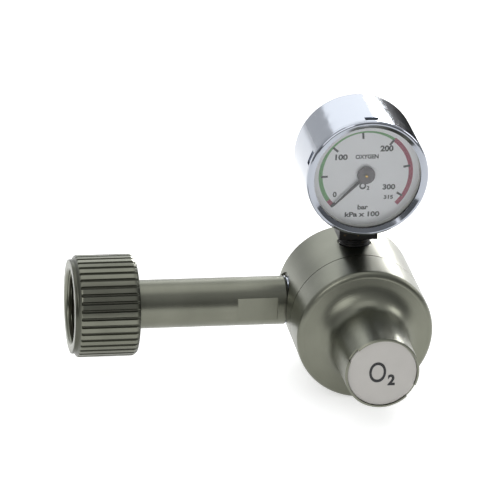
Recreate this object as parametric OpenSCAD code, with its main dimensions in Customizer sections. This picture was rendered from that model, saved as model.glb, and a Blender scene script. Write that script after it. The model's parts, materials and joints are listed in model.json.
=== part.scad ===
// Oxygen pressure regulator: diaphragm regulator with a hand-tight inlet union,
// a contents gauge on top, a bell-shaped spring bonnet in front, and an outlet
// and a relief valve on the rear face.
//
// Frame: the origin is the centre of the inlet collar's sealing face.
// +X runs from the inlet to the body, -Y is the front (bonnet and dial), +Z is up.
// Depths along the body axis are given as "front" values f, where y = -f.

/* [Inlet stem] */
// Inlet sealing face to the axis of the body
reach = 80; // [76:0.5:100]
// Diameter of the stem
stem_d = 16.1; // [15:0.1:16.4]
// Width across the two wrench flats
flats_w = 14; // [13:0.5:15]
// Length of the wrench flats
flats_len = 13.4; // [8:0.1:14]

/* [Union nut] */
// Outer diameter over the ribs
nut_d = 33.6; // [33:0.1:38]
// Length of the nut
nut_len = 21.5; // [21.4:0.1:22.5]
// Number of grip grooves round the nut
groove_count = 40; // [30:2:44]
// Minor diameter of the pipe thread G 3/4
thread_d = 24.12; // [24:0.02:24.4]

/* [Body] */
// Diameter of the body and the bonnet
body_d = 45; // [45:0.5:50]
// Distance from the body axis to the spot face for the stem
spot_at = 20.6; // [20.4:0.1:21]

/* [Bonnet] */
// Front end of the neck
neck_front = 58.6; // [58:0.1:59.5]
// Outer diameter of the neck
neck_d = 24.2; // [23.4:0.1:25]

/* [Gauge] */
// Height of the dial centre above the inlet axis
gauge_z = 51.2; // [50.9:0.1:53]
// Outer diameter of the gauge case
case_d = 40; // [39.8:0.1:41]

/* [Hidden] */
$fn = 64;
eps = 0.01;

// Colours
nickel = [0.60, 0.60, 0.54];
chrome = [0.80, 0.81, 0.84];
brass = [0.78, 0.64, 0.33];
steel = [0.62, 0.63, 0.65];
spring_steel = [0.45, 0.46, 0.48];
black_rubber = [0.09, 0.09, 0.09];

// Body and bonnet
body_r = body_d / 2;
body_rear_f = -10;
joint_f = 16;
joint_gap = 0.2;
joint_depth = 0.7;
edge_chamfer = 1.6;
spot_r = 9.1;
clamp_bore_r = 19;
ledge_f = 10;
low_r = 11.5;
low_floor_f = 7.2;
high_r = 4.5;
high_front_f = 4.6;
plug_r = 6;
plug_inner_f = -5.8;
diaphragm_t = 0.8;
clamp_ring_t = 0.8;
bonnet_inner_f = ledge_f + diaphragm_t + clamp_ring_t;

// Ports
port_r = 4.86; // G 1/8
port_floor_f = -2.5;
port_offset = 13.5;
passage_offset = 10;
passage_r = 1;
outlet_angle = -90;
relief_angle = 30;
gauge_f = 4;
gauge_port_floor = 13.6;
stem_thread_r = 6.5;
stem_thread_end = reach - 11.5;

// Bonnet outline
neck_r = neck_d / 2;
rim_f = 28.2;
edge_r = 2;
face_drop = 0.25;
bell_r = 8;
cap_r = neck_r - 0.75;
cap_seat_f = 56.6;
cap_front_f = neck_front - 0.5;
spring_bore_r = 9;
web_rear_f = 49.5;
web_front_f = 53;
screw_hole_r = 4;
key_w = 2;
key_inner_r = 7.7;

// Preset spring and screw
spring_rear_f = ledge_f + diaphragm_t + 2.5;
spring_front_f = 40;
spring_plate_t = 4;
shank_r = 3.5;

// Inlet
stem_r = stem_d / 2;
shoulder_x = reach - spot_at - 0.8;
collar_r = 11.7;
collar_len = 4.4;
spigot_r = 7;
spigot_len = 4.4;
spigot_groove_x = -3.2;
clip_x = -3.1;
clip_t = 0.8;
flow_r = 2.5;
filter_r = 4;
flats_x = shoulder_x - 3.6 - flats_len;

// Union nut
nut_r = nut_d / 2;
nut_front_x = -13.2;
nut_rear_x = nut_front_x + nut_len;
rim_len = 1.2;
rim_r = nut_r - 1.25;
rim_cone = 0.9;
thread_end_x = -4.7;
nut_floor_x = 6.1;
nut_hole_r = stem_r + 0.2;

// Gauge
case_r = case_d / 2;
case_back_f = -5;
case_front_f = 18.7;
bezel_front_f = 20.4;
dial_f = 15.7;
dial_t = 0.5;
pointer_f = 16.8;
tube_r = 12.6;
tube_t = 2.4;
tube_w = 5;
tube_f = 0.2;
tip_angle = -8;
// Movement: the sector turns about sector_at and drives the pinion on the dial axis
pinion_teeth = 8;
sector_teeth = 72;
gear_module = 0.225;
pinion_pitch_r = pinion_teeth * gear_module / 2;
sector_pitch_r = sector_teeth * gear_module / 2;
mesh_angle = -53.13;
sector_at = (pinion_pitch_r + sector_pitch_r) * [cos(mesh_angle), sin(mesh_angle)];
tail_at = sector_at + [4, -1.5];
tip_at = tube_r * [cos(tip_angle), sin(tip_angle)];
pillars_at = [[-2.5, 7], [7.5, 3], [-4.5, -8.5]];
rear_plate_f = 3;
front_plate_f = 9;
plate_t = 0.8;

// ---------- Placing ----------

// Local z points to the front, local x to +X, local y to +Z
module facing_front(z = 0) translate([reach, 0, z]) rotate([90, 0, 0]) children();

module on_gauge() facing_front(gauge_z) children();

module at_port(angle) facing_front() rotate(angle) translate([port_offset, 0, 0]) rotate(-angle) children();

// Local z points along +X
module along_inlet() rotate([0, 90, 0]) children();

// ---------- Shared shapes ----------

module disc(r, from, to) translate([0, 0, from]) cylinder(r = r, h = to - from);

module ring(outer, inner, from, to) difference() {
    disc(outer, from, to);
    disc(inner, from - 1, to + 1);
}

module hexagon(across_flats, from, to)
    translate([0, 0, from]) cylinder(r = across_flats / 2 / cos(30), h = to - from, $fn = 6);

// Solid of revolution from [radius, height] points
module turned(points) rotate_extrude() polygon(points);

module o_ring(outer, section_r, at)
    translate([0, 0, at]) rotate_extrude() translate([outer - section_r, 0]) circle(section_r, $fn = 24);

// Points of an arc in the plane
function arc(centre, r, from, to, steps) =
    [for (i = [0:steps]) let (a = from + (to - from) * i / steps) centre + r * [cos(a), sin(a)]];

// Compression spring: round wire on a helix, ending inside its two flat seats
module coil_spring(r, wire_r, from, to, turns) {
    sides = 6;
    steps = round(turns * 14);
    low = from + wire_r;
    rise = to - from - 2 * wire_r;
    points = [for (i = [0:steps], s = [0:sides - 1])
        let (a = 360 * turns * i / steps, b = 360 * s / sides, w = r + wire_r * cos(b))
        [w * cos(a), w * sin(a), low + rise * i / steps + wire_r * sin(b)]];
    sides_faces = [for (i = [0:steps - 1], s = [0:sides - 1])
        let (n = (s + 1) % sides)
        [i * sides + s, (i + 1) * sides + s, (i + 1) * sides + n, i * sides + n]];
    start_face = [for (s = [0:sides - 1]) s];
    end_face = [for (s = [sides - 1:-1:0]) steps * sides + s];
    polyhedron(points, concat([start_face], sides_faces, [end_face]));
}

// ---------- Body ----------

// Spot face with its port, cut from the body; local z points out of the body
module side_port(r, floor_at, face_r, face_at) {
    disc(face_r, face_at, body_r + 1);
    disc(r, floor_at, face_at + 1);
}

module rear_port(angle) {
    at_port(angle) disc(port_r, body_rear_f - 1, port_floor_f);
    facing_front() rotate(angle) translate([passage_offset, 0, 0])
        disc(passage_r, port_floor_f - 1, low_floor_f + 1);
}

module body() color(nickel) difference() {
    facing_front() turned([
        [0, body_rear_f], [body_r - edge_chamfer, body_rear_f], [body_r, body_rear_f + edge_chamfer],
        [body_r, joint_f - joint_gap], [body_r - joint_depth, joint_f - joint_gap],
        [body_r - joint_depth, joint_f], [0, joint_f]]);
    facing_front() {
        disc(clamp_bore_r, ledge_f, joint_f + 1);
        disc(low_r, low_floor_f, joint_f);
        disc(1.5, high_front_f - 1, joint_f);
        disc(high_r, plug_inner_f - 1, high_front_f);
        disc(plug_r, body_rear_f - 1, plug_inner_f);
    }
    // inlet port on the left, gauge port on top
    translate([reach, 0, 0]) rotate([0, -90, 0]) {
        side_port(stem_thread_r, reach - stem_thread_end - 0.5, spot_r, spot_at);
        disc(2, 0, spot_at);
    }
    translate([reach, -gauge_f, 0]) {
        side_port(port_r, gauge_port_floor, port_r + 0.7, 21.2);
        disc(passage_r, 0, gauge_port_floor + 1);
    }
    rear_port(outlet_angle);
    rear_port(relief_angle);
}

// Outer line of the bonnet: rounded edge, shallow cone, hollow bell and neck
bell_tangent = atan(face_drop);
bell_centre_r = neck_r + 0.3 + bell_r;
bell_touch_r = bell_centre_r - bell_r * sin(bell_tangent);
face_outer_r = body_r - edge_r;
face_outer_f = rim_f + edge_r;
bell_touch_f = face_outer_f + face_drop * (face_outer_r - bell_touch_r);
bell_centre_f = bell_touch_f + bell_r * cos(bell_tangent);

module bonnet() color(nickel) difference() {
    facing_front() turned(concat(
        [[0, bonnet_inner_f], [clamp_bore_r, bonnet_inner_f], [clamp_bore_r, joint_f],
         [body_r - 0.15, joint_f], [body_r, joint_f + 0.15]],
        arc([face_outer_r, rim_f], edge_r, 0, 90, 8),
        arc([bell_centre_r, bell_centre_f], bell_r, 270 - bell_tangent, 180, 16),
        [[neck_r, neck_front - 0.4], [neck_r - 0.4, neck_front], [0, neck_front]]));
    facing_front() {
        turned([[0, bonnet_inner_f - 1], [15.5, bonnet_inner_f - 1], [15.5, 27],
            [spring_bore_r, 34], [spring_bore_r, web_rear_f], [0, web_rear_f]]);
        disc(screw_hole_r, web_rear_f - 1, web_front_f + 1);
        disc(7.5, web_front_f, cap_seat_f + 1);
        disc(cap_r, cap_seat_f, neck_front + 1);
        // two notches in the rim for lifting the cap
        rotate(146) translate([-neck_r - 1, -2.35, neck_front - 1.3]) cube([2 * neck_r + 2, 4.7, 3]);
    }
}

// Key in the spring bore that stops the spring plate turning
module bore_key(w, inner_r, outer_r, from, to)
    translate([inner_r, -w / 2, from]) cube([outer_r - inner_r, w, to - from]);

module bonnet_with_key() {
    bonnet();
    color(nickel) facing_front() intersection() {
        bore_key(key_w, key_inner_r, spring_bore_r + 0.5, 34.5, web_rear_f + 0.5);
        disc(spring_bore_r + 0.5, 34, web_rear_f + 1);
    }
}

module label_cap() color([0.69, 0.69, 0.67]) facing_front()
    turned([[0, cap_seat_f], [cap_r, cap_seat_f], [cap_r, cap_front_f - 0.2],
        [cap_r - 0.2, cap_front_f], [0, cap_front_f]]);

module diaphragm() color(black_rubber) facing_front()
    ring(clamp_bore_r - 0.2, 2, ledge_f, ledge_f + diaphragm_t);

module clamp_ring() color(brass) facing_front()
    ring(clamp_bore_r - 0.2, 14.5, ledge_f + diaphragm_t, bonnet_inner_f);

// ---------- Preset spring ----------

module push_plate() color(steel) facing_front() {
    disc(10.5, ledge_f + diaphragm_t, spring_rear_f);
    disc(4.5, spring_rear_f - eps, spring_rear_f + 2.7);
    disc(2, 8.8, ledge_f + diaphragm_t + eps);
}

module diaphragm_washer() color(brass) facing_front() ring(6, 2, 9.2, ledge_f);

module main_spring() color(spring_steel) facing_front()
    coil_spring(6.9, 1.3, spring_rear_f, spring_front_f, 6.5);

module spring_plate() color(brass) facing_front() difference() {
    ring(spring_bore_r - 0.3, shank_r + 0.03, spring_front_f, spring_front_f + spring_plate_t);
    bore_key(key_w + 0.3, key_inner_r - 0.3, spring_bore_r + 1, spring_front_f - 1, spring_front_f + 9);
}

module adjusting_screw() color(steel) facing_front() difference() {
    turned([[0, 24], [shank_r - 0.5, 24], [shank_r, 24.5], [shank_r, 48], [7, 48], [7, web_rear_f - 0.1],
        [screw_hole_r - 0.03, web_rear_f - 0.1], [screw_hole_r - 0.03, web_front_f + 0.1],
        [3.5, web_front_f + 0.1], [3.5, web_front_f + 0.9], [screw_hole_r - 0.03, web_front_f + 0.9],
        [screw_hole_r - 0.03, 55.3], [screw_hole_r - 0.33, 55.6], [0, 55.6]]);
    hexagon(4, 53.4, 56);
}

// Snap ring with its gap at the bottom
module screw_circlip() color(spring_steel) facing_front() difference() {
    ring(5.6, 3.5, web_front_f + 0.1, web_front_f + 0.9);
    translate([-1.6, -7, web_front_f]) cube([3.2, 6, 2]);
}

// ---------- Valve ----------

module valve_poppet() color(brass) facing_front() {
    disc(0.8, 3.2, 8.7);
    hexagon(7.4, -1.7, 3.3);
    disc(1.5, -4.5, -1.6);
}

module seat_pad() color([0.9, 0.88, 0.8]) facing_front() ring(3.2, 0.8, 3.3, 4.55);

module valve_spring() color(spring_steel) facing_front() coil_spring(2.9, 0.35, -6.2, -1.7, 5);

module valve_plug() color(brass) facing_front() difference() {
    turned([[0, -9.8], [5.5, -9.8], [plug_r, -9.3], [plug_r, -8.1], [4.8, -8.1], [4.8, -6.8],
        [plug_r, -6.8], [plug_r, -6.2], [0, -6.2]]);
    hexagon(6, -11, -7.8);
}

module plug_o_ring() color(black_rubber) facing_front() o_ring(plug_r, 0.6, -7.45);

// ---------- Inlet ----------

module inlet_stem() color(nickel) along_inlet() difference() {
    turned([[0, -spigot_len], [spigot_r - 0.7, -spigot_len], [spigot_r, -spigot_len + 0.7],
        [spigot_r, spigot_groove_x], [spigot_r - 1.8, spigot_groove_x],
        [spigot_r - 1.8, spigot_groove_x + 1.8], [spigot_r, spigot_groove_x + 1.8],
        [spigot_r, 0], [collar_r - 0.5, 0], [collar_r, 0.5], [collar_r, collar_len],
        [stem_r, collar_len], [stem_r, shoulder_x - 0.8], [stem_r - 0.7, shoulder_x],
        [stem_thread_r, shoulder_x], [stem_thread_r, stem_thread_end - 0.8],
        [stem_thread_r - 0.8, stem_thread_end], [0, stem_thread_end]]);
    disc(flow_r, -spigot_len - 1, stem_thread_end + 1);
    disc(filter_r, -spigot_len - 1, 2.5);
    disc(filter_r + 0.4, clip_x, clip_x + clip_t);
    for (side = [-1, 1]) translate([-stem_d / 2, side * (flats_w / 2 + 5) - 5, flats_x])
        cube([stem_d, 10, flats_len]);
}

module inlet_o_ring() color(black_rubber) along_inlet() o_ring(spigot_r, 0.9, spigot_groove_x + 0.9);

module inlet_filter() color([0.66, 0.5, 0.28]) along_inlet() disc(filter_r, clip_x + clip_t, 2.5);

// Spring clip in its groove, with a gap
module filter_clip() color(spring_steel) along_inlet() difference() {
    ring(filter_r + 0.4, 3, clip_x, clip_x + clip_t);
    translate([-6, -1.2, clip_x - 1]) cube([6, 2.4, 3]);
}

module stem_washer() color(chrome) along_inlet()
    ring(stem_r - 0.1, stem_thread_r, shoulder_x, reach - spot_at);

module union_nut() color(nickel) along_inlet() difference() {
    groove_x = nut_front_x + rim_len + rim_cone - 0.2;
    turned([[0, nut_front_x], [rim_r - 0.4, nut_front_x], [rim_r, nut_front_x + 0.4],
        [rim_r, nut_front_x + rim_len], [nut_r, nut_front_x + rim_len + rim_cone],
        [nut_r, nut_rear_x - 1.4], [nut_r - 0.9, nut_rear_x], [0, nut_rear_x]]);
    disc(thread_d / 2, nut_front_x - 1, nut_floor_x - 1);
    disc(thread_d / 2 + 1.3, thread_end_x, nut_floor_x);
    // countersunk mouth
    turned([[0, nut_front_x - 1], [thread_d / 2 + 1.7, nut_front_x - 1], [thread_d / 2, nut_front_x + 0.7],
        [0, nut_front_x + 0.7]]);
    disc(nut_hole_r, 0, nut_rear_x + 1);
    for (i = [0:groove_count - 1]) rotate(360 * i / groove_count) translate([nut_r + 0.05, 0, groove_x])
        cylinder(r = 0.75, h = nut_len, $fn = 16);
}

module slip_ring() color(brass) along_inlet() ring(collar_r - 0.1, nut_hole_r, collar_len + 0.2, nut_floor_x - 0.2);

// ---------- Gauge case ----------

block_w = 12.8;
block_bottom_z = 25.6;
inner_block_w = 10;
inner_block_front_f = 8;
case_inner_r = case_r - 2.7;
case_lip_r = case_r - 1.7;
case_neck_r = case_r - 0.7;
case_floor_f = -3.4;
case_end_f = 17.8;
block_top = -10.2;
step_bottom = -13.6;
case_screws_at = [[-3, -15.6], [3, -15.6]];
movement_screws_at = [[-0.6, -12.2], [3.2, -12.2]];
plug_at = [0, 9];

// Inner part of the socket, in the gauge's own frame; its front is stepped for the movement
module inner_block() difference() {
    translate([-inner_block_w / 2, -case_r - 1, case_floor_f])
        cube([inner_block_w, block_top + case_r + 1, inner_block_front_f - case_floor_f]);
    translate([-2.6, step_bottom, rear_plate_f]) cube([inner_block_w, 10, 10]);
}

module gauge_socket() color([0.16, 0.16, 0.15]) difference() {
    union() {
        translate([reach - block_w / 2, -gauge_f - block_w / 2, block_bottom_z])
            cube([block_w, block_w, gauge_z - case_r - block_bottom_z]);
        translate([reach, -gauge_f, gauge_port_floor + 1.5]) cylinder(r = port_r, h = 11);
        on_gauge() inner_block();
    }
    translate([reach, -gauge_f, 0]) cylinder(r = 1, h = gauge_z - 12);
    on_gauge() translate([-6, -11.56, tube_f + tube_w / 2]) rotate([0, 90, 0]) cylinder(r = 0.5, h = 6);
    on_gauge() translate([0, -14, tube_f + tube_w / 2]) rotate([-90, 0, 0]) cylinder(r = 0.5, h = 3);
    on_gauge() for (p = case_screws_at) translate(p) disc(0.8, case_floor_f - 1, 2);
    on_gauge() for (p = movement_screws_at) translate(p) disc(0.6, 0.5, rear_plate_f + 1);
}

module gauge_seal() color([0.72, 0.45, 0.3]) translate([reach, -gauge_f, 0])
    ring(port_r, 2.4, gauge_port_floor, gauge_port_floor + 1.5);

module gauge_case() color(chrome) on_gauge() difference() {
    turned(concat([[0, case_back_f]], arc([case_r - 1.5, case_back_f + 1.5], 1.5, -90, 0, 6),
        [[case_r, case_front_f], [case_neck_r, case_front_f], [case_neck_r, case_end_f],
         [case_lip_r, case_end_f], [case_lip_r, dial_f], [case_inner_r, dial_f],
         [case_inner_r, case_floor_f], [0, case_floor_f]]));
    translate([-inner_block_w / 2, -case_r - 1, case_floor_f])
        cube([inner_block_w, 8, inner_block_front_f - case_floor_f]);
    for (p = case_screws_at) translate(p) disc(0.8, case_back_f - 1, case_floor_f + 1);
    translate(plug_at) disc(3.5, case_back_f - 1, case_floor_f + 1);
    // slots in the front edge, five round the rim
    for (i = [0:4]) rotate(88 + 72 * i) translate([case_neck_r, -2.3, case_front_f - 2.4]) cube([2, 4.6, 3]);
}

module case_screws() color(steel) on_gauge() for (p = case_screws_at) translate(p) difference() {
    union() {
        disc(1.6, case_back_f - 1, case_back_f);
        disc(0.8, case_back_f - eps, 1.5);
    }
    translate([-2, -0.2, case_back_f - 2]) cube([4, 0.4, 1.5]);
}

module blow_out_plug() color(black_rubber) on_gauge() translate(plug_at)
    turned([[0, case_back_f - 0.7], [4.2, case_back_f - 0.7], [4.6, case_back_f - 0.3],
        [4.6, case_back_f], [3.5, case_back_f], [3.5, case_floor_f], [3.9, case_floor_f],
        [3.6, case_floor_f + 0.6], [0, case_floor_f + 0.6]]);

module dial() color([0.83, 0.84, 0.85]) on_gauge() ring(case_lip_r - 0.1, 1.2, dial_f, dial_f + dial_t);

module dial_spacer() color([0.86, 0.86, 0.86]) on_gauge()
    ring(case_lip_r, case_lip_r - 0.7, dial_f + dial_t, case_end_f);

module lens_gasket() color(black_rubber) on_gauge()
    ring(case_neck_r, case_lip_r - 0.5, case_end_f, lens_f);

lens_f = case_end_f + 0.5;
lens_t = 1.2;

module lens() color([0.85, 0.9, 0.92, 0.35]) on_gauge()
    turned([[0, lens_f], [case_neck_r, lens_f], [case_neck_r, lens_f + lens_t], [0, lens_f + lens_t]]);

// Narrow bayonet ring: rounded front edge and a bevelled lip over the lens
module bezel() color(chrome) on_gauge()
    turned(concat([[case_neck_r, case_front_f + 0.1], [case_r, case_front_f + 0.1]],
        arc([case_r - 1, bezel_front_f - 1], 1, 0, 90, 6),
        [[case_r - 1.1, bezel_front_f], [case_r - 2.4, lens_f + lens_t + 0.2],
         [case_r - 2.4, lens_f + lens_t], [case_neck_r, lens_f + lens_t]]));

// ---------- Gauge movement ----------

module bourdon_tube() color(brass) on_gauge() difference() {
    union() {
        translate([0, 0, tube_f]) rotate(tip_angle)
            rotate_extrude(angle = 256) translate([tube_r - tube_t / 2, 0]) square([tube_t, tube_w]);
        // closed tip with the pin for the link
        rotate(tip_angle) translate([tube_r - 1.5, -1.6, tube_f]) cube([3, 2.4, tube_w + 0.6]);
        translate(tip_at) disc(0.5, tube_f + tube_w, 8.3);
    }
    translate([-inner_block_w / 2, -case_r, -1]) cube([inner_block_w, case_r + block_top, 12]);
}

// Both movement plates have this outline
module plate(from) {
    translate([0, 0, from]) linear_extrude(plate_t)
        polygon([pillars_at[0], pillars_at[1], sector_at, pillars_at[2]]);
    for (p = concat(pillars_at, [sector_at])) translate(p) disc(1.5, from, from + plate_t);
}

module plate_holes(from, to) {
    disc(0.63, from, to);
    translate(sector_at) disc(0.83, from, to);
    for (p = pillars_at) translate(p) disc(0.6, from, to);
}

module rear_plate() color(brass) on_gauge() difference() {
    union() {
        plate(rear_plate_f);
        translate([-2.5, step_bottom + 0.1, rear_plate_f]) cube([7.4, 7, plate_t]);
    }
    plate_holes(rear_plate_f - 1, rear_plate_f + 2);
    for (p = movement_screws_at) translate(p) disc(0.6, rear_plate_f - 1, rear_plate_f + 2);
}

module front_plate() color(brass) on_gauge() difference() {
    union() plate(front_plate_f);
    plate_holes(front_plate_f - 1, front_plate_f + 2);
}

module plate_pillars() color(brass) on_gauge() for (p = pillars_at) translate(p) {
    disc(1, rear_plate_f + plate_t, front_plate_f);
    disc(0.6, rear_plate_f, front_plate_f + plate_t);
}

module movement_screws() color(steel) on_gauge() for (p = movement_screws_at) translate(p) {
    disc(1.1, rear_plate_f + plate_t, rear_plate_f + plate_t + 0.8);
    disc(0.6, 0.5, rear_plate_f + plate_t + eps);
}

// Outline of one tooth, pointing along +x from the gear's centre
module tooth(pitch_r) polygon([
    [pitch_r - 0.28, -0.19], [pitch_r, -0.13], [pitch_r + 0.17, -0.07],
    [pitch_r + 0.17, 0.07], [pitch_r, 0.13], [pitch_r - 0.28, 0.19]]);

// A tooth of the sector stands on the line of centres, in a gap of the pinion
module sector_gear() color(brass) on_gauge() {
    tooth_step = 360 / sector_teeth;
    translate([sector_at[0], sector_at[1], 5.7]) linear_extrude(1.4) {
        for (i = [-7:1]) rotate(180 + mesh_angle + i * tooth_step) tooth(sector_pitch_r);
        intersection() {
            difference() {
                circle(sector_pitch_r - 0.25);
                circle(sector_pitch_r - 1.6);
            }
            polygon([[0, 0], 12 * [cos(88), sin(88)], 12 * [cos(112), sin(112)], 12 * [cos(136), sin(136)]]);
        }
        for (a = [92, 131]) rotate(a) translate([0, -0.5]) square([sector_pitch_r - 1, 1]);
        circle(1.6);
        rotate(atan2(tail_at[1] - sector_at[1], tail_at[0] - sector_at[0])) translate([0, -0.9])
            square([norm(tail_at - sector_at), 1.8]);
        translate(tail_at - sector_at) circle(0.9);
    }
    translate(sector_at) disc(0.8, rear_plate_f, front_plate_f + plate_t);
    translate(tail_at) disc(0.5, 7, 8.3);
}

module drive_link() color(brass) on_gauge() {
    span = tip_at - tail_at;
    translate([tail_at[0], tail_at[1], 7.4]) rotate(atan2(span[1], span[0])) linear_extrude(0.6) difference() {
        union() {
            circle(1);
            translate([norm(span), 0]) circle(1);
            translate([0, -0.6]) square([norm(span), 1.2]);
        }
        circle(0.55);
        translate([norm(span), 0]) circle(0.6);
    }
}

module pointer_shaft() color(brass) on_gauge() {
    turned([[0, rear_plate_f], [0.6, rear_plate_f], [0.6, pointer_f - 0.1], [0.5, pointer_f],
        [0.5, pointer_f + 1.1], [0.3, pointer_f + 1.3], [0, pointer_f + 1.3]]);
    translate([0, 0, 5.4]) linear_extrude(2) {
        circle(pinion_pitch_r - 0.25);
        for (i = [0:pinion_teeth - 1]) rotate(mesh_angle + 360 * (i + 0.5) / pinion_teeth)
            tooth(pinion_pitch_r);
    }
}

// Points of an open flat spiral with a given number of turns
function spiral(r, growth, turns, steps) =
    [for (i = [0:steps]) let (a = 360 * turns * i / steps, at = r + growth * i / steps) at * [cos(a), sin(a)]];

function reversed(list) = [for (i = [len(list) - 1:-1:0]) list[i]];

// Flat spiral between the pointer shaft and its stud on the front plate
module hairspring() color([0.75, 0.6, 0.35]) on_gauge() {
    translate([0, 0, 7.8]) linear_extrude(0.4)
        polygon(concat(spiral(0.72, 2.1, 4, 96), reversed(spiral(0.86, 2.1, 4, 96))));
    translate([3.07, 0]) disc(0.35, 7.8, front_plate_f);
}

// Pointer at zero, lower left, with its hub
module pointer() color([0.08, 0.08, 0.08]) on_gauge() difference() {
    union() {
        translate([0, 0, pointer_f + 0.3]) rotate(225) linear_extrude(0.4)
            polygon([[-2.6, -0.6], [0, -0.55], [15, -0.15], [15.4, 0], [15, 0.15], [0, 0.55], [-2.6, 0.6]]);
        disc(2.9, pointer_f, pointer_f + 0.9);
    }
    disc(0.5, pointer_f - 1, pointer_f + 2);
}

// ---------- Rear fittings ----------

module outlet_fitting() color(nickel) at_port(outlet_angle) difference() {
    union() {
        disc(port_r, -10.81, -3);
        hexagon(15, -15.8, -10.8);
        turned([[0, -26], [5.8, -26], [6.58, -25.2], [6.58, -17], [5.7, -16.4], [5.7, -15.7], [0, -15.7]]);
    }
    disc(2.2, -27, -2);
    turned([[0, -27], [4.6, -27], [2.2, -22], [0, -22]]);
}

module outlet_seal() color(black_rubber) at_port(outlet_angle) ring(6.4, port_r, -10.8, body_rear_f);

module relief_body() color(nickel) at_port(relief_angle) difference() {
    union() {
        disc(port_r, -10.81, -3);
        hexagon(12, -14, -10.8);
        disc(5.2, -22, -13.9);
    }
    disc(1.2, -13, -2);
    disc(3.6, -23, -12);
}

module relief_seal() color(black_rubber) at_port(relief_angle) ring(6, port_r, -10.8, body_rear_f);

module relief_poppet() color(brass) at_port(relief_angle) {
    turned([[0, -16], [3.53, -16], [3.53, -12.7], [2.8, -12.05], [0, -12.05]]);
    disc(1.2, -18, -15.9);
}

module relief_spring() color(spring_steel) at_port(relief_angle) coil_spring(2.5, 0.35, -20.4, -16, 5);

module relief_cap() color(nickel) at_port(relief_angle) difference() {
    union() {
        disc(3.6, -22.01, -20.4);
        turned([[0, -23.8], [4.8, -23.8], [5.2, -23.4], [5.2, -22], [0, -22]]);
    }
    for (a = [0:120:240]) rotate(a) translate([2, 0, 0]) disc(0.6, -25, -20);
}

// ---------- Nodes ----------

body();
bonnet_with_key();  // bonnet
label_cap();
diaphragm();
clamp_ring();
push_plate();
diaphragm_washer();
main_spring();
spring_plate();
adjusting_screw();
screw_circlip();
valve_poppet();
seat_pad();
valve_spring();
valve_plug();
plug_o_ring();
inlet_stem();
inlet_o_ring();
inlet_filter();
filter_clip();
stem_washer();
union_nut();
slip_ring();
gauge_socket();
gauge_seal();
gauge_case();
case_screws();
blow_out_plug();
bourdon_tube();
rear_plate();
front_plate();
plate_pillars();
movement_screws();
sector_gear();
drive_link();
pointer_shaft();
hairspring();
dial();
dial_spacer();
pointer();
lens_gasket();
lens();
bezel();
outlet_fitting();
outlet_seal();
relief_body();
relief_seal();
relief_poppet();
relief_spring();
relief_cap();
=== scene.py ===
"""Looks of an oxygen pressure regulator: finishes, threads, dial print and a small studio.

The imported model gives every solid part. This file adds the detail that is surface only.
Lengths in the settings are metres; lengths in the comments are millimetres.
"""
import json
import math

import bmesh
import bpy
import numpy as np
from mathutils import Matrix, Vector


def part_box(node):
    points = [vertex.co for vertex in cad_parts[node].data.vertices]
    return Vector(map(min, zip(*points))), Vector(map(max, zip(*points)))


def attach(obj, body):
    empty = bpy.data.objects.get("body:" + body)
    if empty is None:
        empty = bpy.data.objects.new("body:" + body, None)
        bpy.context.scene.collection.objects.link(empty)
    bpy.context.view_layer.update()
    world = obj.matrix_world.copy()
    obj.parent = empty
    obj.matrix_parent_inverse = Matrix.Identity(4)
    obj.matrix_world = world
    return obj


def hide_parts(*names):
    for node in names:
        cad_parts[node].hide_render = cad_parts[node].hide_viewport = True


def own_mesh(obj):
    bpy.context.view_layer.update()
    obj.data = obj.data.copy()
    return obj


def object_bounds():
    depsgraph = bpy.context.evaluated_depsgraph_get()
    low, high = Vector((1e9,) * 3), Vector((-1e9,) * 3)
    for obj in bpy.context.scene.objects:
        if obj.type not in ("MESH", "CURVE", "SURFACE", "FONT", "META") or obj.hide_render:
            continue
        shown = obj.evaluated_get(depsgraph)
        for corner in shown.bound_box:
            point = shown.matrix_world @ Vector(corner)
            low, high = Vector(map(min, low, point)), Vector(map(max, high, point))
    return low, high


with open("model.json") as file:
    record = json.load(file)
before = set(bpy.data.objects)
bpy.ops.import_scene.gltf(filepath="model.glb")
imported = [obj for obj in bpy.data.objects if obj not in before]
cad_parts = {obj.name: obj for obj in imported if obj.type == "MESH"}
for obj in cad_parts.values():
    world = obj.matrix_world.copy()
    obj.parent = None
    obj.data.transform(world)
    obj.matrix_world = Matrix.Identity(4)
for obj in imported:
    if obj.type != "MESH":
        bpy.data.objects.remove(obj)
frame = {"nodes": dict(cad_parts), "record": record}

bl_info = {
    "name": "Oxygen pressure regulator",
    "version": (1, 0, 0),
    "blender": (4, 5, 0),
    "location": "3D View > Sidebar > Regulator",
    "description": "Builds the threads, dial print, pointer, finishes and studio of an oxygen pressure regulator",
    "category": "Object",
}

MM = 0.001
NODES = frame["nodes"]
CAD_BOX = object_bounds()


def middle(node):
    """Centre of a CAD part's box, in millimetres."""
    low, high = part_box(node)
    return (np.array(low) + np.array(high)) / 2 / MM


def corner(node, high):
    """Lowest or highest corner of a CAD part's box, in millimetres."""
    return np.array(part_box(node)[1 if high else 0]) / MM


BODY_X = middle("label_cap")[0]
DIAL_X, _, DIAL_Z = middle("dial")
DIAL_FRONT = -corner("dial", False)[1]
LABEL_FRONT = -corner("label_cap", False)[1]
REAR_PORT_REACH = 13.5  # the outlet and the relief valve lie this far from the body's axis
RELIEF_TURN = math.radians(30)  # the relief valve's place round that axis, from +X
INK = 0.03  # how far print stands proud of its face
SUNK = 0.01  # how far print reaches into its face, so that no gap shows


# ---------- Colour ----------


def linear(hex_colour):
    """sRGB hex to linear red, green and blue: each channel through the sRGB curve."""
    channels = np.array([int(hex_colour[i : i + 2], 16) for i in (1, 3, 5)]) / 255
    curved = ((channels + 0.055) / 1.055) ** 2.4
    return tuple(float(c) for c in np.where(channels <= 0.04045, channels / 12.92, curved))


def four(colour):
    """Colour with the alpha that a node's colour socket wants."""
    return (*colour, 1)


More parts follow.
